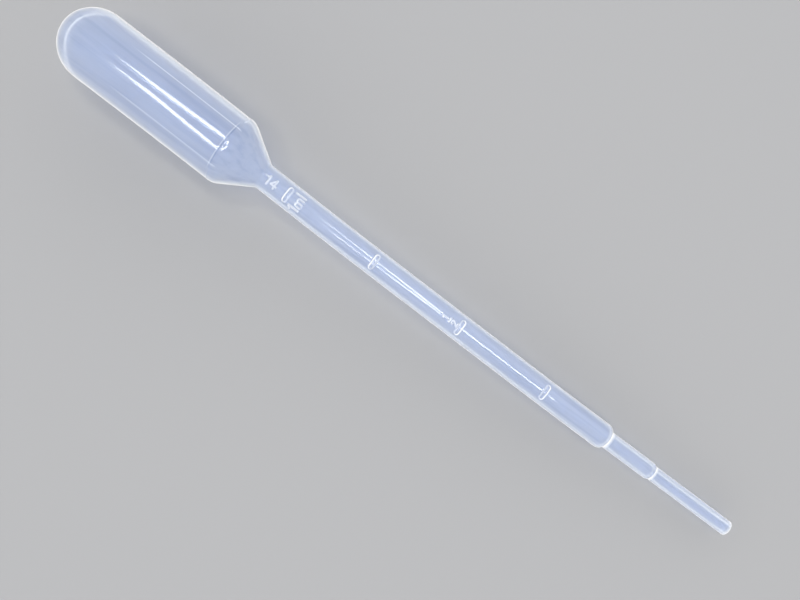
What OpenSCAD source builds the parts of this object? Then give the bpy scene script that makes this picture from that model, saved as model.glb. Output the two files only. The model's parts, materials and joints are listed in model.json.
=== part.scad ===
// Dropper pipette, blow-moulded in one piece: a hollow squeeze bulb, a
// graduated stem and a stepped tip that is open at its end.
// It lies on its side as it comes to rest: the rim of the bulb's shoulder and
// the lower rim of the tip touch z = 0, and the tip points along +X.
// Millimetres. The origin is the middle of the box's bottom face.

/* [Bulb] */
// Outside diameter of the bulb
bulb_d = 13.8; // [12:0.1:16]
// Length from the round end to where the shoulder begins
bulb_l = 37.2; // [25:0.1:50]
// Wall of the bulb
bulb_wall = 0.7; // [0.4:0.05:1.2]
// Wall at the round end, where the tube was pinched shut
bulb_end_wall = 1.1; // [0.8:0.1:3]

/* [Shoulder] */
// Length of the shoulder between the bulb and the stem
shoulder_l = 8.1; // [7:0.1:14]
// Radius of the round edge where the bulb turns into the shoulder
shoulder_r = 3; // [1.5:0.1:4.5]
// Radius of the hollow where the shoulder runs into the stem
neck_r = 1.2; // [0.4:0.1:2.5]

/* [Stem] */
// Outside diameter of the stem
stem_d = 5.1; // [4.6:0.05:6.5]
// Length of the stem between the shoulder and the first step
stem_l = 79.4; // [70:0.1:120]
// Wall of the stem
stem_wall = 0.55; // [0.4:0.01:0.8]

/* [Stepped tip] */
// Outside diameter of the stretch between the two steps
mid_d = 3.5; // [3.3:0.05:4.2]
// Length from the first step to the second
mid_l = 11.2; // [6:0.1:20]
// Wall of that stretch
mid_wall = 0.7; // [0.5:0.02:0.95]
// Outside diameter of the tip
tip_d = 2.95; // [2.7:0.05:3.3]
// Length from the second step to the open end
tip_l = 19.1; // [8:0.1:30]
// Wall of the tip
tip_wall = 0.73; // [0.5:0.01:0.95]
// Radius of the round edge at each step
step_r = 1.5; // [1:0.1:2.2]
// Radius of the edge around the open end
tip_edge_r = 0.15; // [0.05:0.05:0.3]

/* [Scale] */
// Volume between two marks, in microlitres
mark_volume = 250; // [200:10:400]
// Length of a mark across the stem
mark_l = 2.9; // [1.5:0.1:3.6]
// Width of a mark along the stem
mark_w = 0.8; // [0.4:0.05:1.5]
// Height of the marks and figures above the stem
relief = 0.2; // [0.1:0.05:0.4]
// Width of the line that the figures are drawn with
figure_line = 0.35; // [0.2:0.05:0.5]
// Height of the figures
figure_h = 2.1; // [1.4:0.1:2.6]

/* [Hidden] */
$fn = 96;

bulb_r = bulb_d / 2;
stem_r = stem_d / 2;
mid_r = mid_d / 2;
tip_r = tip_d / 2;
bulb_bore_r = bulb_r - bulb_wall;
stem_bore_r = stem_r - stem_wall;
mid_bore_r = mid_r - mid_wall;
tip_bore_r = tip_r - tip_wall;

// Places along the axis, from the round end of the bulb
stem_u = bulb_l + shoulder_l;
mid_u = stem_u + stem_l;
tip_u = mid_u + mid_l;
total_l = tip_u + tip_l;

// Lying at rest, both lower rims touch the ground: the shoulder's round edge
// and the edge of the open end are two circles with one line under them.
rim_rise = (bulb_r - shoulder_r) - (tip_r - tip_edge_r);
rim_run = total_l - tip_edge_r - bulb_l;
tilt = atan(rim_rise / rim_run)
    + asin((shoulder_r - tip_edge_r) / norm([rim_rise, rim_run]));
rest_z = bulb_l * sin(tilt) + (bulb_r - shoulder_r) * cos(tilt) + shoulder_r;
low_x = bulb_r * cos(tilt) - bulb_r;
high_x = (total_l - tip_edge_r) * cos(tilt)
    + (tip_r - tip_edge_r) * sin(tilt) + tip_edge_r;
rest_x = -(low_x + high_x) / 2;

// Each mark stands where the stem holds its volume, counted from the open end
tip_fill = PI * pow(tip_bore_r, 2) * tip_l;
mid_fill = PI * pow(mid_bore_r, 2) * mid_l;
stem_area = PI * pow(stem_bore_r, 2);
first_mark = (mark_volume - tip_fill - mid_fill) / stem_area;
mark_pitch = mark_volume / stem_area;
neck_room = 3;
mark_count = 1 + floor((stem_l - neck_room - first_mark) / mark_pitch);

// The figures beside the marks, and the mould number by the neck
half_mark = 2;
whole_mark = 4;
unit_gap = 1.1;
half_gap = 0.7;
mould_number_gap = 0.9;
mould_number_scale = 0.75;
// How deep marks and figures reach into the wall, so that they fuse with it
root = 0.25;

function mark_u(i) = mid_u - first_mark - (i - 1) * mark_pitch;

// ---- Outlines, with the radius along x and the axis along y ----

// The end of a stretch of radius r at height u, with its rim rounded
module round_end(r, rim, u) {
    translate([r - rim, u])
        circle(r = rim);
    translate([0, u])
        square([r - rim, rim]);
}

// A straight stretch from height u0 to u1
module stretch(r, u0, u1) {
    translate([0, u0])
        square([r, u1 - u0]);
}

// A shoulder from radius wide at u0 to radius narrow at u1: a round edge, a
// straight cone and a hollow, each tangent to the next
module shoulder(wide, narrow, edge, hollow, u0, u1) {
    edge_c = [wide - edge, u0];
    hollow_c = [narrow + hollow, u1];
    span = hollow_c - edge_c;
    turn = atan2(span[1], span[0]) - acos((edge + hollow) / norm(span));
    normal = [cos(turn), sin(turn)];
    difference() {
        union() {
            translate(edge_c)
                circle(r = edge);
            polygon([
                [0, u0], edge_c, edge_c + edge * normal,
                hollow_c - hollow * normal, hollow_c, [0, u1]
            ]);
        }
        translate(hollow_c)
            circle(r = hollow);
    }
}

module outer_outline() {
    difference() {
        union() {
            translate([0, bulb_r])
                circle(r = bulb_r);
            stretch(bulb_r, bulb_r, bulb_l);
            shoulder(bulb_r, stem_r, shoulder_r, neck_r, bulb_l, stem_u);
            stretch(stem_r, stem_u, mid_u);
            round_end(stem_r, step_r, mid_u);
            stretch(mid_r, mid_u, tip_u);
            round_end(mid_r, step_r, tip_u);
            stretch(tip_r, tip_u, total_l - tip_edge_r);
            round_end(tip_r, tip_edge_r, total_l - tip_edge_r);
        }
        left_of_axis();
    }
}

// The walls keep the same centres of curvature inside and outside
module bore_outline() {
    difference() {
        union() {
            translate([0, bulb_end_wall + bulb_bore_r])
                circle(r = bulb_bore_r);
            stretch(bulb_bore_r, bulb_end_wall + bulb_bore_r, bulb_l);
            shoulder(bulb_bore_r, stem_bore_r, shoulder_r - bulb_wall,
                neck_r + stem_wall, bulb_l, stem_u);
            stretch(stem_bore_r, stem_u, mid_u);
            round_end(stem_bore_r, step_r - stem_wall, mid_u);
            stretch(mid_bore_r, mid_u, tip_u);
            round_end(mid_bore_r, (mid_bore_r - tip_bore_r) * 2, tip_u);
            stretch(tip_bore_r, tip_u, total_l + 1);
        }
        left_of_axis();
    }
}

module left_of_axis() {
    translate([-2 * bulb_d, -bulb_d])
        square([2 * bulb_d, total_l + 2 * bulb_d]);
}

// ---- Figures, drawn with a round pen and standing on y = 0 ----

module line_to(from, to) {
    along = to - from;
    translate(from) {
        circle(d = figure_line, $fn = 24);
        rotate(atan2(along[1], along[0]))
            translate([0, -figure_line / 2])
                square([norm(along), figure_line]);
    }
    translate(to)
        circle(d = figure_line, $fn = 24);
}

// The upper half of a ring, from one foot to the other
module arch(w, foot_y) {
    translate([w / 2, foot_y])
        difference() {
            circle(d = w + figure_line, $fn = 48);
            circle(d = w - figure_line, $fn = 48);
            translate([-w, -2 * w])
                square([2 * w, 2 * w]);
        }
}

module figure_1(h) {
    line_to([0, 0], [0, h]);
    line_to([0, h], [-0.2 * h, 0.8 * h]);
}

module figure_2(h) {
    w = 0.5 * h;
    translate([-w / 2, 0]) {
        arch(w, h - w / 2);
        line_to([w, h - w / 2], [0, 0]);
        line_to([0, 0], [w, 0]);
    }
}

module figure_4(h) {
    line_to([0.15 * h, 0], [0.15 * h, h]);
    line_to([0.15 * h, h], [-0.35 * h, 0.3 * h]);
    line_to([-0.35 * h, 0.3 * h], [0.35 * h, 0.3 * h]);
}

module letter_l(h) {
    line_to([0, 0], [0, h]);
}

module letter_m(h) {
    w = 0.6 * h;
    for (side = [-1, 0]) {
        translate([side * w, 0])
            arch(w, h - w / 2);
    }
    for (x = [-w, 0, w]) {
        line_to([x, 0], [x, h - w / 2]);
    }
}

module one_ml() {
    translate([-0.6 * figure_h, 0])
        figure_1(figure_h);
    letter_m(0.55 * figure_h);
    translate([0.6 * figure_h, 0])
        letter_l(figure_h);
}

module one_half() {
    small = 0.6 * figure_h;
    translate([0, small + 2.2 * figure_line])
        figure_1(small);
    line_to([-0.3 * small, small + 1.1 * figure_line],
        [0.3 * small, small + 1.1 * figure_line]);
    figure_2(small);
}

// A plain number that reads along the stem, towards the tip
module mould_number() {
    h = mould_number_scale * figure_h;
    translate([-h / 2, 0])
        rotate(-90) {
            translate([0.2 * h, 0])
                figure_1(h);
            translate([h, 0])
                figure_4(h);
        }
}

// ---- The moulding, standing on its round end ----

// What is drawn is raised on the side of the stem that faces up at rest, with
// its own upper end towards the bulb
module raised(u) {
    intersection() {
        translate([0, 0, u])
            rotate([90, 180, -90])
                linear_extrude(height = stem_d)
                    children();
        translate([0, 0, stem_u])
            difference() {
                cylinder(r = stem_r + relief, h = stem_l);
                cylinder(r = stem_r - root, h = stem_l);
            }
    }
}

module mark() {
    reach = (mark_l - mark_w) / 2;
    square([2 * reach, mark_w], center = true);
    for (side = [-1, 1]) {
        translate([side * reach, 0])
            circle(d = mark_w, $fn = 48);
    }
}

module scale_marks() {
    for (i = [1 : mark_count]) {
        raised(mark_u(i))
            mark();
    }
    if (mark_count >= half_mark) {
        raised(mark_u(half_mark) - half_gap)
            one_half();
    }
    if (mark_count >= whole_mark) {
        raised(mark_u(whole_mark) + unit_gap + figure_h)
            one_ml();
    }
}

module moulding() {
    difference() {
        rotate_extrude()
            outer_outline();
        rotate_extrude()
            bore_outline();
    }
    scale_marks();
    raised(stem_u + mould_number_gap)
        mould_number();
}

module pipette() {
    color([0.8, 0.85, 0.95, 0.6])
        translate([rest_x, 0, rest_z])
            rotate([0, 90 + tilt, 0])
                moulding();
}

pipette();
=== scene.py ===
"""A dropper pipette, blow-moulded in one piece from milky low-density polyethylene.

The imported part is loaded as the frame. One closed mesh, with the outside, the open end and
the inside as one skin, takes the place of its node: it has the same outline, with the soft
edges, raised scale and slight unevenness that such a moulding has.

Lengths of the moulding are in millimetres until its mesh is placed. Lengths of the grain, the
floor, the lamps and the camera are in metres. Along the axis, u runs from the round end of
the bulb. Around it, the angle a runs from +Y over the top.
"""

import json
import math

import bpy
import numpy as np
from mathutils import Matrix, Vector


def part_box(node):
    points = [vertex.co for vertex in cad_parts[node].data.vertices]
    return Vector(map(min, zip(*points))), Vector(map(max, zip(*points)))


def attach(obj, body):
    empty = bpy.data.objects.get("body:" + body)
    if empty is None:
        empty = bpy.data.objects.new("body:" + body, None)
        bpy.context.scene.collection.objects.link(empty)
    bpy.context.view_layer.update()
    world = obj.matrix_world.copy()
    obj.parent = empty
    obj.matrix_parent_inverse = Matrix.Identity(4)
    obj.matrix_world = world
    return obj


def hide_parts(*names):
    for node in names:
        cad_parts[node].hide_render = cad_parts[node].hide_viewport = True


MM = 0.001

# ---- Sizes of the moulding, in millimetres ----

# The bulb's nominal radius, for the fine lines on it. The mesh takes its radius from the frame.
BULB_R = 6.9
BULB_L = 37.2
BULB_WALL = 0.7
BULB_END_WALL = 1.1
SHOULDER_L = 8.1
SHOULDER_R = 3.0
NECK_R = 1.2
STEM_D = 5.1
STEM_L = 79.4
STEM_WALL = 0.55
MID_D = 3.5
MID_L = 11.2
MID_WALL = 0.7
TIP_L = 19.1
STEP_R = 1.5
FOOT_FILLET = 0.25
TIP_EDGE_R = 0.15
TIP_BORE_EDGE_R = 0.1
TIP_BORE_STEP_R = 0.6

# How far the bore's round edge turns at each step, in degrees
MID_BORE_TURN = 86
TIP_BORE_TURN = 62

STEM_U = BULB_L + SHOULDER_L
MID_U = STEM_U + STEM_L
TIP_U = MID_U + MID_L
TOTAL_L = TIP_U + TIP_L
MIDDLE_U = TOTAL_L / 2

# Just past the foot of each step, where the next straight stretch begins
MID_STRAIGHT_U = MID_U + 2.0
TIP_STRAIGHT_U = TIP_U + 1.4

# The raised scale. The first mark is counted back from the first step. As in the solid, the
# hollow holds 0.25 mL up to it, and the same again up to each further mark.
MARK_L = 2.9
MARK_W = 0.8
RELIEF = 0.2
LINE_W = 0.35
FIGURE_H = 2.1
FIGURE_RELIEF = RELIEF * 0.85
FIRST_MARK = 14.157
MARK_PITCH = 19.894
MARK_COUNT = 4
HALF_MARK = 2
WHOLE_MARK = 4
HALF_GAP = 0.7
HALF_SCALE = 0.6
BAR_GAP = 1.1
UNIT_GAP = 1.1
NUMBER_GAP = 0.9
NUMBER_SCALE = 0.75
MARK_FLANK_W = 0.4
# Where a mark's painted highlight goes over from its flank towards the middle to the one away
MARK_GLINT_SIDES = (-0.2, 0.3)
FIGURE_FLANK_W = 0.15

# How the blown wall departs from a true tube. The whole moulding bends sideways over the
# stretch BOW_IN and straightens over BOW_OUT. The bore lies to one side by each WALL_SHIFT at
# its place along the axis.
STEM_BOW = 0.515
BOW_IN = (15, 72)
BOW_OUT = (104, 166)
WALL_SHIFT_AT = (36, 46, 120, 128, 134, 140)
WALL_SHIFT = (0.25, -0.07, -0.07, 0.0, 0.0, 0.1)
BLOWN_THIN = 0.1
WAVE_OUT = 0.008
WAVE_IN = 0.04
RING_LINE = 0.05
RING_LINE_W = 0.16
# Two fine ridges along the bulb at these angles, painted white as a reflection of the lamps
FINE_LINE_ANGLES = (56.5, 127.5)
FINE_LINE_RIDGE = 0.02
FINE_LINE_W = 0.08

# Rows and columns of the mesh: fine over the raised scale and the ring line, coarser elsewhere
FINE_ROW = 0.08
BULB_ROW = 0.8
STEM_ROW = 0.9
TIP_ROW = 0.6
WIDE_BORE_ROW = 1.1
NARROW_BORE_ROW = 0.9
RING_ZONE = 0.6
MARK_ZONE = 0.7
FIGURE_ZONE = 0.4
NUMBER_ZONE = (-0.1, 2.6)
FINE_ANGLE = 38.0
FINE_STEP = 1.5
COARSE_STEP = 3.0

# ---- Traits of the skin: where it is whiter or bluer, much of it painted highlight and shade ----

# Painted highlights on the raised scale: the share on a mark's flank towards the middle, and a
# figure's
MARK_INWARD_GLINT = 0.4
FIGURE_GLINT = 0.5
# Painted highlight at the foot of each step
FOOT_HIGHLIGHT = 0.95
LIP_WHITE = 0.8
# Painted reflection along the two fine lines
FINE_LINE_REFLECTION = 0.5
NARROW_BORE_WHITE = 0.08
STEM_LESS_BLUE = 0.1
TIP_LESS_BLUE = 0.04

# At the ring line a painted highlight, a white line, lies beside a painted shade, a blue one. Each has
# its place and half width.
RING_HIGHLIGHT_LINE = (BULB_L - 0.4, 0.1)
RING_SHADE_LINE = (BULB_L - 0.12, 0.12)
RING_HIGHLIGHT_WHITE = 0.3
RING_SHADE_BLUE = 0.7

# The foot of each step is painted whiter, as a highlight, and the inside of each step shows less white
STEP_FEET = (MID_U + 1.38, TIP_U + 0.95)
FOOT_W = 0.2
STEP_INSIDES = ((MID_U + 0.75, 0.45), (TIP_U + 0.4, 0.35))
STEP_INSIDE_LESS = 0.45

# The clear round end of the bulb, and how white its wall looks there where it is seen edge on
ROUND_END = (3.0, 6.5)
OUTER_END_GLOW = 0.45
BORE_END_GLOW = 0.05

# Strength of the thin painted highlight where light is just short of total reflection
OUTER_LINE = 4.5
BORE_END_LINE = 16

# ---- The plastic ----

IOR = 1.51
OUTER_TINT = (0.78, 0.84, 0.94, 1)
BORE_TINT = (0.185, 0.28, 0.50, 1)
PALE_TINT = (0.98, 0.98, 0.98, 1)
SHEEN_TINT = (1.0, 0.98, 0.95, 1)
SHADOW_TINT = (0.66, 0.69, 0.76, 1)
OUTER_CLEAR = 0.70
BORE_CLEAR = 0.45
PALE_CLEAR = 0.05
ROUGHNESS = (0.04, 0.055)

# Noises: the grain along and across the pipette in metres, and the detail
FLOW_LINES = (0.06, 0.0011, 2.0)
CLOUDS = (0.012, 0.005, 3.0)
GRAIN = (0.0012, 0.0007, 2.0)
NOISE_LOW = 0.3
NOISE_HIGH = 0.7

# How far the noises move the tint and the clearness
FLOW_IN_TINT = 0.14
FLOW_IN_CLEAR = 0.015
CLOUDS_IN_CLEAR = 0.02

# ---- Stage, lamps and camera, in metres ----

FLOOR_SIZE = 12
FLOOR_NEAR = (0.46, 0.46, 0.465, 1)
FLOOR_FAR = (0.8, 0.8, 0.8, 1)
FLOOR_FADE = (0.25, 1.8)

# Each lamp's points are angles from straight up, in degrees, towards +X and towards +Y, and its
# width is an angle too. Strips run from point to point.
LAMP_HEIGHT = 0.8
LAMP_RADIANCE = 14
LAMPS = [
    ("far_left", [(-22.6, 10.4), (-13.5, 21)], 6.5),
    ("near_left", [(-22.9, -12), (-13.0, -22.5)], 6.5),
    ("far_right", [(-3.5, 19), (4.5, 14), (10, 5)], 5.0),
    ("near_right", [(-3.5, -19), (4.5, -14), (10, -5)], 5.0),
    ("middle", [(11, -1.5), (20.7, -1.5)], 8.5),
]

# The sky's strength at the horizon, how fast it falls to nothing overhead, and its strength
# where it is itself seen
SKY_TINT = (0.97, 0.98, 1.0, 1)
HORIZON = 3.5
HORIZON_FALL = 2.0
BACKDROP = 0.9

# The turn is in degrees, and the lens and the sensor are in millimetres
CAMERA_AT = (0.00132, -0.00317, 0.1506)
CAMERA_TURN = 37.35
CAMERA_LENS = 35.1
SENSOR_W = 36
CLIP_START = 0.01


# ---- The frame ----


def mount(record, name):
    for m in record["mounts"]:
        if m["name"] == name:
            return m
    raise KeyError(name)


class Axis:
    """The pipette's axis in the frame, from the mounts on its open end."""

    def __init__(self, record):
        bore = mount(record, "tip_bore")
        self.along = Vector(bore["axis"]).normalized()
        self.end = Vector(bore["pos_m"])
        self.side = Vector((0, 1, 0))
        self.up = self.along.cross(self.side)
        self.bore_r = bore["dims"]["r_mm"]
        self.outer_r = mount(record, "tip_outside")["dims"]["r_mm"]

    def matrix(self):
        """From (y, up, u) in millimetres to the frame in metres."""
        m = Matrix((self.side, self.up, self.along)).transposed().to_4x4()
        m.translation = self.end - self.along * TOTAL_L * MM
        return m @ Matrix.Scale(MM, 4)


# ---- Outline: points (u, r) of the skin, from the outer pole round to the inner one ----


def arc(centre, r, start, end, steps):
    """Points on a circle about (u, r) = centre. At angle 0 the point is straight out."""
    for i in range(steps + 1):
        a = math.radians(start + (end - start) * i / steps)
        yield (centre[0] + r * math.sin(a), centre[1] + r * math.cos(a))


def straight(u0, u1, r, step):
    """Points at radius r from u0 to u1, about step apart."""
    n = max(1, round(abs(u1 - u0) / step))
    for i in range(n + 1):
        yield (u0 + (u1 - u0) * i / n, r)


def shoulder(wide, narrow, edge, hollow):
    """The round edge, cone and hollow between the bulb and the stem."""
    rise = (narrow + hollow) - (wide - edge)
    run = STEM_U - BULB_L
    lean = math.acos((edge + hollow) / math.hypot(run, rise))
    turn = math.degrees(math.atan2(run, rise) - lean)
    yield from arc((BULB_L, wide - edge), edge, 0, turn, steps=14)
    yield from arc((STEM_U, narrow + hollow), hollow, 180 + turn, 180, steps=12)


def step_down(wide, edge, narrow, u):
    """A round edge from radius wide to radius narrow, with a small fillet at its foot."""
    c_edge = wide - edge
    c_foot = narrow + FOOT_FILLET
    turn = math.acos((c_foot - c_edge) / (edge + FOOT_FILLET))
    foot_u = u + (edge + FOOT_FILLET) * math.sin(turn)
    yield from arc((u, c_edge), edge, 0, math.degrees(turn), steps=10)
    yield from arc((foot_u, c_foot), FOOT_FILLET, 180 + math.degrees(turn), 180, steps=6)


def cleaned(points):
    """Drops points that fall on the one before."""
    out = []
    for p in points:
        if not out or math.dist(p, out[-1]) > 1e-4:
            out.append(p)
    return out


def mark_u(i):
    """Where the middle of mark i stands."""
    return MID_U - FIRST_MARK - (i - 1) * MARK_PITCH


def figures():
    """What is written on the stem, each with the place along the axis that it is drawn from."""
    yield one_half, mark_u(HALF_MARK) - HALF_GAP
    yield one_ml, mark_u(WHOLE_MARK) + UNIT_GAP + FIGURE_H
    yield mould_number, STEM_U + NUMBER_GAP


def raised_zones():
    """Stretches of the stem that carry something raised."""
    (_, half_u), (_, ml_u), (_, number_u) = figures()
    half_h = 2 * HALF_SCALE * FIGURE_H + 2 * BAR_GAP * LINE_W
    for i in range(1, MARK_COUNT + 1):
        yield (mark_u(i) - MARK_ZONE, mark_u(i) + MARK_ZONE)
    yield (half_u - half_h - FIGURE_ZONE, half_u + FIGURE_ZONE)
    yield (ml_u - FIGURE_H - FIGURE_ZONE, ml_u + FIGURE_ZONE)
    yield (number_u + NUMBER_ZONE[0], number_u + NUMBER_ZONE[1])


def stem_rows(u0, u1, r):
    """Points along the stem, close together where something is raised."""
    u = u0
    zones = list(raised_zones())
    while u < u1:
        yield (u, r)
        near = any(low <= u <= high for low, high in zones)
        ahead = [low - u for low, _ in zones if low > u + 1e-6]
        u += FINE_ROW if near else min([STEM_ROW] + ahead)
    yield (u1, r)


def outer_outline(axis, bulb_r):
    """From the outer pole, on the round end, to the open end."""
    stem_r, mid_r, tip_r = STEM_D / 2, MID_D / 2, axis.outer_r
    yield from arc((bulb_r, 0), bulb_r, -90, 0, steps=30)
    yield from straight(bulb_r, BULB_L - RING_ZONE, bulb_r, BULB_ROW)
    yield from straight(BULB_L - RING_ZONE, BULB_L, bulb_r, FINE_ROW)
    yield from shoulder(bulb_r, stem_r, SHOULDER_R, NECK_R)
    yield from stem_rows(STEM_U, MID_U, stem_r)
    yield from step_down(stem_r, STEP_R, mid_r, MID_U)
    yield from straight(MID_STRAIGHT_U, TIP_U, mid_r, TIP_ROW)
    yield from step_down(mid_r, STEP_R, tip_r, TIP_U)
    yield from straight(TIP_STRAIGHT_U, TOTAL_L - TIP_EDGE_R, tip_r, TIP_ROW)
    yield from arc((TOTAL_L - TIP_EDGE_R, tip_r - TIP_EDGE_R), TIP_EDGE_R, 0, 90, steps=6)


def inner_outline(axis, bulb_r):
    """From the open end to the inner pole, in the round end."""
    bulb_b, stem_b = bulb_r - BULB_WALL, STEM_D / 2 - STEM_WALL
    mid_b, tip_b = MID_D / 2 - MID_WALL, axis.bore_r
    lip = TIP_BORE_EDGE_R
    yield from arc((TOTAL_L - lip, tip_b + lip), lip, 90, 180, steps=4)
    yield from straight(TOTAL_L - 2 * lip, TIP_U + 0.6, tip_b, NARROW_BORE_ROW)
    rim = TIP_BORE_STEP_R
    yield from reversed(list(arc((TIP_U, mid_b - rim), rim, 0, TIP_BORE_TURN, steps=6)))
    yield from straight(TIP_U - 0.3, MID_U + 1.2, mid_b, NARROW_BORE_ROW)
    rim = STEP_R - STEM_WALL
    yield from reversed(list(arc((MID_U, stem_b - rim), rim, 0, MID_BORE_TURN, steps=8)))
    yield from straight(MID_U - 0.4, STEM_U, stem_b, WIDE_BORE_ROW)
    yield from reversed(list(shoulder(bulb_b, stem_b, SHOULDER_R - BULB_WALL, NECK_R + STEM_WALL)))
    yield from straight(BULB_L - 0.4, BULB_END_WALL + bulb_b, bulb_b, WIDE_BORE_ROW)
    yield from reversed(list(arc((BULB_END_WALL + bulb_b, 0), bulb_b, -90, 0, steps=24)))


# ---- The figures, as the distance from their lines (x across the stem, y up the text) ----


def to_segment(x, y, start, end):
    """Distance from each point to the segment from start to end."""
    x0, y0 = start
    dx, dy = end[0] - x0, end[1] - y0
    t = np.clip(((x - x0) * dx + (y - y0) * dy) / max(dx * dx + dy * dy, 1e-12), 0, 1)
    return np.hypot(x - x0 - t * dx, y - y0 - t * dy)


def to_arch(x, y, centre, r):
    """Distance from each point to the upper half of a circle."""
    px, py = x - centre[0], y - centre[1]
    ring = np.abs(np.hypot(px, py) - r)
    foot = np.minimum(np.hypot(px - r, py), np.hypot(px + r, py))
    return np.where(py >= 0, ring, foot)


def figure_1(x, y, h):
    flag = to_segment(x, y, (0, h), (-0.2 * h, 0.8 * h))
    return np.minimum(to_segment(x, y, (0, 0), (0, h)), flag)


def figure_2(x, y, h):
    w = 0.5 * h
    x = x + w / 2
    bend = to_arch(x, y, (w / 2, h - w / 2), w / 2)
    slant = to_segment(x, y, (w, h - w / 2), (0, 0))
    return np.minimum.reduce([bend, slant, to_segment(x, y, (0, 0), (w, 0))])


def figure_4(x, y, h):
    strokes = [
        ((0.15 * h, 0), (0.15 * h, h)),
        ((0.15 * h, h), (-0.35 * h, 0.3 * h)),
        ((-0.35 * h, 0.3 * h), (0.35 * h, 0.3 * h)),
    ]
    return np.minimum.reduce([to_segment(x, y, start, end) for start, end in strokes])


def letter_m(x, y, h):
    w = 0.6 * h
    arches = [to_arch(x, y, (side * w / 2, h - w / 2), w / 2) for side in (-1, 1)]
    legs = [to_segment(x, y, (s * w, 0), (s * w, h - w / 2)) for s in (-1, 0, 1)]
    return np.minimum.reduce(arches + legs)


def one_ml(x, y):
    h = FIGURE_H
    letter_l = to_segment(x, y, (0.6 * h, 0), (0.6 * h, h))
    return np.minimum.reduce([figure_1(x + 0.6 * h, y, h), letter_m(x, y, 0.55 * h), letter_l])


def one_half(x, y):
    small = HALF_SCALE * FIGURE_H
    bar_y = small + BAR_GAP * LINE_W
    bar = to_segment(x, y, (-0.3 * small, bar_y), (0.3 * small, bar_y))
    top = figure_1(x, y - small - 2 * BAR_GAP * LINE_W, small)
    return np.minimum.reduce([top, bar, figure_2(x, y, small)])


def mould_number(x, y):
    """A plain 14 that reads along the stem, towards the tip."""
    h = NUMBER_SCALE * FIGURE_H
    along, across = -y, x + h / 2
    return np.minimum(figure_1(along - 0.2 * h, across, h), figure_4(along - h, across, h))


# ---- The form of the wall ----


def ease(x, low, high):
    """0 below low, 1 above high, smooth between."""
    t = np.clip((x - low) / (high - low), 0, 1)
    return t * t * (3 - 2 * t)


def hump(u, middle, half_width):
    """A smooth hump of height 1."""
    return np.exp(-(((u - middle) / half_width) ** 2))


def bead(distance, width, height, flank_w):
    """The height of a bead with rounded flanks, and how far up its flank each point is, 0 to 1."""
    t = np.clip((distance - width / 2) / flank_w + 0.5, 0, 1)
    return height * (1 - t * t * (3 - 2 * t)), 1 - t


def relief(u, across, facing):
    """Height of what is raised on the stem at each point, and its painted highlight: white along a
    mark's edge, most of all on the side away from the pipette's middle, and all over a figure."""
    reach = (MARK_L - MARK_W) / 2
    beads = []
    for i in range(1, MARK_COUNT + 1):
        bar = to_segment(across, u, (-reach, mark_u(i)), (reach, mark_u(i)))
        height, climb = bead(bar, MARK_W, RELIEF, MARK_FLANK_W)
        # Painted highlight: a mark's flank away from the pipette's middle is painted whiter than the
        # one towards it
        outward = math.copysign(1, mark_u(i) - MIDDLE_U) * (u - mark_u(i))
        side = MARK_INWARD_GLINT + (1 - MARK_INWARD_GLINT) * ease(outward, *MARK_GLINT_SIDES)
        beads.append((height, 4 * climb * (1 - climb) * side))
    for figure, from_u in figures():
        height, climb = bead(figure(across, from_u - u), LINE_W, FIGURE_RELIEF, FIGURE_FLANK_W)
        beads.append((height, FIGURE_GLINT * climb))
    height = np.maximum.reduce([b[0] for b in beads])
    white = np.maximum.reduce([b[1] for b in beads])
    return np.where(facing, height, 0.0), np.where(facing, white, 0.0)


def bow(u):
    """Sideways bend of the whole moulding, greatest along the stem."""
    return -STEM_BOW * ease(u, *BOW_IN) * (1 - ease(u, *BOW_OUT))


def waviness(u, a):
    """Slow unevenness of the blown wall: waves along it and lobes around it."""
    long_waves = np.sin(u / 2.9 + 0.6) * np.cos(a + 0.8) + 0.7 * np.sin(u / 4.7 + 2 * a)
    lobes = 0.8 * np.cos(2 * a + 0.4) + 0.5 * np.cos(3 * a + u / 11)
    return long_waves * 0.35 + lobes * 0.5


def ridge_and_reflection_lines(u, a):
    """Two fine lines along the bulb: a slight ridge, painted white as a reflection of the lamps."""
    half_width = math.degrees(FINE_LINE_W / BULB_R)
    across = sum(hump(np.degrees(a), line, half_width) for line in FINE_LINE_ANGLES)
    return across * ease(u, 14, 20) * (1 - ease(u, BULB_L + 0.2, BULB_L + 1.2))


def over_and_under(a):
    """1 over the top and the underside of the pipette, and 0 towards its two sides."""
    return ease(np.abs(np.sin(a)), 0.6, 0.9)


def round_end(u):
    """1 at the clear round end of the bulb, and 0 from about where its sides are straight."""
    return 1 - ease(u, *ROUND_END)


def wall_glow(u, at_end):
    """How white the wall looks where it is seen edge on: at_end in the bulb's round end, less than
    elsewhere inside the two steps, and 1 along the rest."""
    steps = sum(hump(u, middle, half_width) for middle, half_width in STEP_INSIDES)
    return 1 + (at_end - 1) * round_end(u) - STEP_INSIDE_LESS * steps


def highlights_and_lip(u, a):
    """Where the outside is whiter than elsewhere: painted highlights at the foot of each step, on
    the two fine lines and along one edge of the ring line, and the whiter lip."""
    feet = sum(hump(u, foot, FOOT_W) for foot in STEP_FEET)
    lip = ease(u, TOTAL_L - 0.4, TOTAL_L - 0.05)
    ring = hump(u, *RING_HIGHLIGHT_LINE) * over_and_under(a)
    white = feet * FOOT_HIGHLIGHT + lip * LIP_WHITE + RING_HIGHLIGHT_WHITE * ring
    return np.clip(white + FINE_LINE_REFLECTION * ridge_and_reflection_lines(u, a), 0, 1)


# ---- The moulding ----


def columns():
    """Angles around the axis, from +Y over the top, fine near the top."""
    fine = np.arange(90 - FINE_ANGLE, 90 + FINE_ANGLE + 1e-6, FINE_STEP)
    count = round((360 - 2 * FINE_ANGLE) / COARSE_STEP) + 1
    coarse = np.linspace(fine[-1], fine[0] + 360, count)
    return np.radians(np.concatenate([fine, coarse[1:-1]]))


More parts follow.
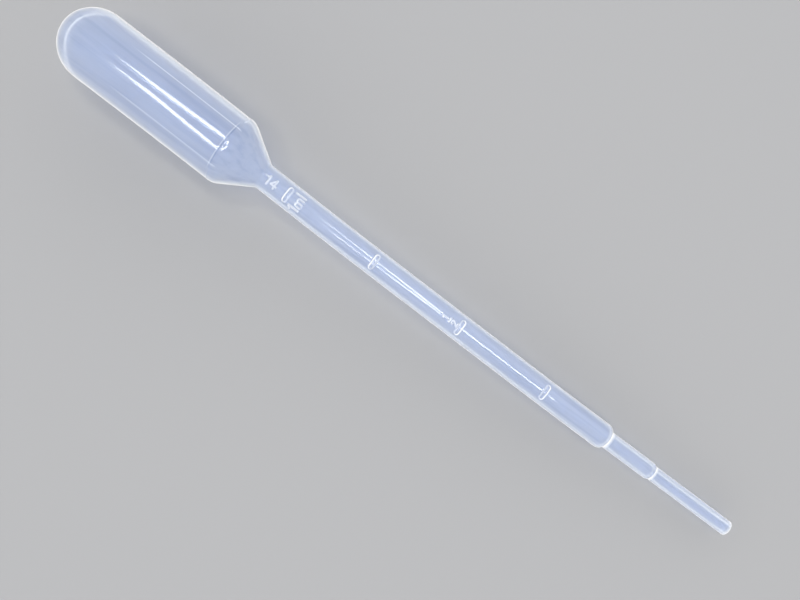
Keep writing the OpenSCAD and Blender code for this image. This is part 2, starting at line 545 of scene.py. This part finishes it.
def outer_side(u, r, a, size):
    """The outside's radius, sideways shift and traits. size is the radius as a share of the bulb's."""
    facing_up = (u > STEM_U) & (u < MID_U) & (np.sin(a) > 0.3)
    height, raised = relief(u, r * np.cos(a), facing_up)
    traits = {
        # Painted shade: a blue line beside the ring line, over the top and the underside
        "bore": RING_SHADE_BLUE * hump(u, *RING_SHADE_LINE) * over_and_under(a),
        # Painted highlights on the raised scale's flanks, the step feet, the fine lines and the ring
        # line, and the whiter lip
        "pale": np.maximum(raised, highlights_and_lip(u, a)),
        "glow": wall_glow(u, OUTER_END_GLOW),
        "line": np.full_like(u, OUTER_LINE),
    }
    off_ground = ease(np.sin(a), -0.99, -0.9)
    ring = RING_LINE * hump(u, BULB_L, RING_LINE_W) * off_ground
    r = r + height + ring + FINE_LINE_RIDGE * ridge_and_reflection_lines(u, a)
    off_pole = ease(r, 0, 2)
    r = r - WAVE_OUT * size**2 * (1 + waviness(u, a)) * off_pole
    return r, np.zeros_like(u), traits


def inner_side(u, r, a, size):
    """The bore's radius, sideways shift and traits. size is the radius as a share of the bulb's."""
    narrow = ease(u, STEM_U - 4, STEM_U + 2)
    traits = {
        "bore": 1 - STEM_LESS_BLUE * narrow - TIP_LESS_BLUE * ease(u, MID_U - 2, MID_U + 2),
        "pale": NARROW_BORE_WHITE * narrow,
        "glow": wall_glow(u, BORE_END_GLOW),
        # The thin painted highlight of the bore, at the round end only
        "line": BORE_END_LINE * round_end(u),
    }
    r = r + WAVE_IN * size**2 * waviness(u + 7, a + 1.9)
    r = r + BLOWN_THIN * ease(u, 3, 9) * (1 - ease(u, BULB_L - 3, BULB_L + 3))
    shift = -np.interp(u, WALL_SHIFT_AT, WALL_SHIFT)
    off_tip = 1 - ease(u, TOTAL_L - 3, TOTAL_L)
    off_pole = ease(u, 1, 9)
    return r, shift * off_tip * off_pole, traits


def skin_points(axis, bulb_r):
    """Rows of points, (y, up, u), from the outer pole to the inner pole, with their traits: how far
    they count as bore, with a painted shade by the ring line, how white the plastic is, with painted
    highlights, how white it looks edge on, and the strength of the thin painted highlight beside
    total reflection."""
    a = columns()
    rows, traits = [], []
    for outline, side in ((outer_outline, outer_side), (inner_outline, inner_side)):
        path = np.array(cleaned(outline(axis, bulb_r)))
        u = path[:, 0, None] * np.ones_like(a)
        r = path[:, 1, None] * np.ones_like(a)
        r, shift, values = side(u, r, a, np.clip(r / bulb_r, 0, 1))
        y = r * np.cos(a) + bow(u) + shift
        rows.append(np.stack([y, r * np.sin(a), u], axis=-1))
        traits.append(values)
    joined = {name: np.concatenate([values[name] for values in traits]) for name in traits[0]}
    return np.concatenate(rows), joined


def closed_skin(points):
    """Vertices and faces of the rows, with the first and the last row drawn into poles."""
    rows, cols, _ = points.shape
    first, last = points[0].mean(axis=0), points[-1].mean(axis=0)
    body = points[1:-1].reshape(-1, 3)
    verts = np.concatenate([body, first[None], last[None]])
    n = rows - 2
    faces = []
    for i in range(n - 1):
        for j in range(cols):
            k = (j + 1) % cols
            faces.append((i * cols + j, i * cols + k, (i + 1) * cols + k, (i + 1) * cols + j))
    outer_pole, inner_pole = n * cols, n * cols + 1
    for j in range(cols):
        k = (j + 1) % cols
        faces.append((outer_pole, k, j))
        faces.append((inner_pole, (n - 1) * cols + j, (n - 1) * cols + k))
    return verts, faces


def make_moulding(axis, bulb_r):
    """The one piece, with its traits as attributes of the mesh's points."""
    points, traits = skin_points(axis, bulb_r)
    verts, faces = closed_skin(points)
    mesh = bpy.data.meshes.new("pipette_moulding")
    mesh.from_pydata(verts.tolist(), [], faces)
    for name, value in traits.items():
        layer = mesh.attributes.new(name, "FLOAT", "POINT")
        poles = [value[0].mean(), value[-1].mean()]
        layer.data.foreach_set("value", np.append(value[1:-1].ravel(), poles))
    mesh.transform(axis.matrix())
    mesh.update()
    mesh.polygons.foreach_set("use_smooth", [True] * len(mesh.polygons))
    piece = bpy.data.objects.new("pipette_moulding", mesh)
    bpy.context.scene.collection.objects.link(piece)
    return piece


# ---- Materials ----


class Nodes:
    """The node tree of a material or a world, with short ways to add to it. What an input is given
    is a plain number or colour, or another node's output, which is then linked to it."""

    def __init__(self, owner):
        owner.use_nodes = True
        self.nodes = owner.node_tree.nodes
        self.links = owner.node_tree.links

    def feed(self, socket, value):
        if isinstance(value, bpy.types.NodeSocket):
            self.links.new(value, socket)
        else:
            socket.default_value = value

    def add(self, kind, inputs, **settings):
        """A new node with these settings, its inputs given by name or by number."""
        node = self.nodes.new(kind)
        for name, value in settings.items():
            setattr(node, name, value)
        for key, value in inputs.items():
            self.feed(node.inputs[key], value)
        return node

    def math(self, operation, first, second, clamp=False):
        inputs = {0: first, 1: second}
        node = self.add("ShaderNodeMath", inputs, operation=operation, use_clamp=clamp)
        return node.outputs[0]

    def plus(self, first, second):
        """A sum, kept between 0 and 1."""
        return self.math("ADD", first, second, clamp=True)

    def blend(self, factor, low, high):
        """A number or colour that goes from low to high with factor."""
        if isinstance(high, tuple):
            inputs = {0: factor, 6: low, 7: high}
            return self.add("ShaderNodeMix", inputs, data_type="RGBA").outputs[2]
        return self.add("ShaderNodeMix", {0: factor, 2: low, 3: high}).outputs[0]

    def trait(self, name):
        """One of the traits that the mesh's points carry."""
        return self.add("ShaderNodeAttribute", {}, attribute_name=name).outputs["Fac"]

    def place(self, kind):
        """The texture coordinate of this kind."""
        return self.add("ShaderNodeTexCoord", {}).outputs[kind]

    def noise(self, lie, along, across, detail):
        """Noise drawn out along the pipette. along and across are its grain in metres."""
        scale = (1 / along, 1 / across, 1 / across)
        inputs = {"Vector": self.place("Object"), "Rotation": (0, lie, 0), "Scale": scale}
        drawn_out = self.add("ShaderNodeMapping", inputs).outputs["Vector"]
        inputs = {"Vector": drawn_out, "Scale": 1.0, "Detail": detail, "Roughness": 0.5}
        return self.add("ShaderNodeTexNoise", inputs).outputs["Fac"]

    def spread(self, noise, low, high):
        """A noise, mostly between NOISE_LOW and NOISE_HIGH, taken to between low and high."""
        inputs = {0: noise, 1: NOISE_LOW, 2: NOISE_HIGH, 3: low, 4: high}
        return self.add("ShaderNodeMapRange", inputs).outputs[0]


def new_material(name):
    mat = bpy.data.materials.new(name)
    tree = Nodes(mat)
    tree.nodes.clear()
    return mat, tree


def whiteness(tree):
    """How white the plastic looks: by its pale trait, which holds painted highlights, more where the
    wall is seen edge on and light is kept in it, and most in a thin painted highlight where light is
    just short of total reflection."""
    kept_in = tree.add("ShaderNodeFresnel", {"IOR": IOR}).outputs[0]
    edge_on = tree.math("MULTIPLY", kept_in, tree.trait("glow"))
    half_kept = tree.math("PINGPONG", kept_in, 0.5)
    line = tree.math("MULTIPLY", tree.math("POWER", half_kept, 2.0), tree.trait("line"))
    return tree.plus(tree.plus(tree.trait("pale"), edge_on), line)


def polyethylene(lie):
    """Milky plastic. The outer skin is pale and the bore is blue, so that the wall shows white
    where it is seen edge on, and the hollow shows blue. Flow lines run along it, down the slope
    lie at which it rests."""
    mat, tree = new_material("milky_polyethylene")
    pale = whiteness(tree)
    bore = tree.trait("bore")
    flow = tree.noise(lie, *FLOW_LINES)
    clouds = tree.noise(lie, *CLOUDS)
    grain = tree.noise(lie, *GRAIN)

    streaked = tree.plus(bore, tree.spread(flow, -FLOW_IN_TINT, FLOW_IN_TINT))
    tint = tree.blend(streaked, OUTER_TINT, BORE_TINT)
    clear = tree.blend(bore, OUTER_CLEAR, BORE_CLEAR)
    clear = tree.plus(clear, tree.spread(flow, -FLOW_IN_CLEAR, FLOW_IN_CLEAR))
    clear = tree.plus(clear, tree.spread(clouds, -CLOUDS_IN_CLEAR, CLOUDS_IN_CLEAR))
    bump = tree.add("ShaderNodeBump", {"Strength": 0.15, "Distance": 0.00001, "Height": grain})
    skin = tree.add("ShaderNodeBsdfPrincipled", {
        "IOR": IOR,
        "Sheen Weight": 1.0,
        "Sheen Roughness": 0.3,
        "Sheen Tint": SHEEN_TINT,
        "Base Color": tree.blend(pale, tint, PALE_TINT),
        "Transmission Weight": tree.blend(pale, clear, PALE_CLEAR),
        "Roughness": tree.spread(clouds, *ROUGHNESS),
        "Normal": bump.outputs["Normal"],
    })

    # The lamps shine through the plastic, which leaves a pale shadow
    shadow_ray = tree.add("ShaderNodeLightPath", {}).outputs["Is Shadow Ray"]
    lamp_light = tree.add("ShaderNodeBsdfTransparent", {"Color": SHADOW_TINT})
    inputs = {0: shadow_ray, 1: skin.outputs["BSDF"], 2: lamp_light.outputs["BSDF"]}
    either = tree.add("ShaderNodeMixShader", inputs)
    tree.add("ShaderNodeOutputMaterial", {"Surface": either.outputs["Shader"]})
    return mat


def floor_material():
    """Plain grey, paler far away, where the lamps light it less."""
    mat, tree = new_material("pale_floor")
    inputs = {0: tree.place("Object")}
    away = tree.add("ShaderNodeVectorMath", inputs, operation="LENGTH").outputs["Value"]
    inputs = {0: away, 1: FLOOR_FADE[0], 2: FLOOR_FADE[1]}
    far = tree.add("ShaderNodeMapRange", inputs, interpolation_type="SMOOTHSTEP").outputs[0]
    grey = tree.blend(far, FLOOR_NEAR, FLOOR_FAR)
    matt = tree.add("ShaderNodeBsdfPrincipled", {"Base Color": grey, "Roughness": 0.9})
    tree.add("ShaderNodeOutputMaterial", {"Surface": matt.outputs["BSDF"]})
    return mat


# ---- Stage, lights and camera ----


def make_floor():
    bpy.ops.mesh.primitive_plane_add(size=FLOOR_SIZE)
    floor = bpy.context.object
    floor.name = "floor"
    floor.data.materials.append(floor_material())


def overhead(angles):
    """The x and y, at the lamps' height, of what is seen from the origin at these angles."""
    return [LAMP_HEIGHT * math.tan(math.radians(angle)) for angle in angles]


def strip(name, start, end, width):
    """A long narrow lamp over the pipette, from start to end."""
    (x0, y0), (x1, y1) = overhead(start), overhead(end)
    size = (math.hypot(x1 - x0, y1 - y0), LAMP_HEIGHT * math.radians(width))
    data = bpy.data.lights.new(name, "AREA")
    data.shape = "RECTANGLE"
    data.size, data.size_y = size
    data.energy = LAMP_RADIANCE * math.pi * size[0] * size[1]
    lamp = bpy.data.objects.new(name, data)
    lamp.location = ((x0 + x1) / 2, (y0 + y1) / 2, LAMP_HEIGHT)
    lamp.rotation_euler = (0, 0, math.atan2(y1 - y0, x1 - x0))
    bpy.context.scene.collection.objects.link(lamp)


def make_lamps():
    """A strip between each two neighbouring points of each lamp."""
    for name, points, width in LAMPS:
        for i, (start, end) in enumerate(zip(points, points[1:])):
            strip(f"{name}_{i}", start, end, width)


def make_sky():
    """A pale dome, brighter round the horizon than overhead. Where it is itself seen, straight on,
    in a reflection or through the plastic, it is an even backdrop instead."""
    world = bpy.data.worlds.new("studio")
    tree = Nodes(world)
    height = tree.add("ShaderNodeSeparateXYZ", {0: tree.place("Generated")}).outputs["Z"]
    below = tree.math("SUBTRACT", 1, height, clamp=True)
    light = tree.math("MULTIPLY", tree.math("POWER", below, HORIZON_FALL), HORIZON)
    ray = tree.add("ShaderNodeLightPath", {}).outputs
    seen = tree.plus(ray["Is Camera Ray"], ray["Is Glossy Ray"])
    seen = tree.plus(seen, ray["Is Transmission Ray"])
    sky = tree.nodes["Background"]
    tree.feed(sky.inputs["Color"], SKY_TINT)
    tree.feed(sky.inputs["Strength"], tree.blend(seen, light, BACKDROP))
    bpy.context.scene.world = world


def make_camera():
    """Straight down from 150 mm, turned so that the tip points to the lower right."""
    cam = bpy.data.cameras.new("camera")
    cam.sensor_width = SENSOR_W
    cam.lens = CAMERA_LENS
    cam.clip_start = CLIP_START
    eye = bpy.data.objects.new("camera", cam)
    eye.location = CAMERA_AT
    eye.rotation_euler = (0, 0, math.radians(CAMERA_TURN))
    bpy.context.scene.collection.objects.link(eye)
    bpy.context.scene.camera = eye


# ---- Scene ----

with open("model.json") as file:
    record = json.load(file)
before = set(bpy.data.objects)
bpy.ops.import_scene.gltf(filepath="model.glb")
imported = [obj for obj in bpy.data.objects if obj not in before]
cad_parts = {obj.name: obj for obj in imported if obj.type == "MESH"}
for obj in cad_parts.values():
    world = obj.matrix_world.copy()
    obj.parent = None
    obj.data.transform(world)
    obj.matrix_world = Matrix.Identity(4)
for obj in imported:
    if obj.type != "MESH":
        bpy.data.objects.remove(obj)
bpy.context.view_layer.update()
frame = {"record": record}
axis = Axis(frame["record"])
lowest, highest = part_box("pipette")
bulb_radius = (highest.y - lowest.y) / 2 / MM

moulding = make_moulding(axis, bulb_radius)
lie = math.asin(-axis.along.z)
moulding.data.materials.append(polyethylene(lie))
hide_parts("pipette")
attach(moulding, "root")

make_floor()
make_sky()
make_lamps()
make_camera()
bpy.context.scene.view_settings.view_transform = "Standard"
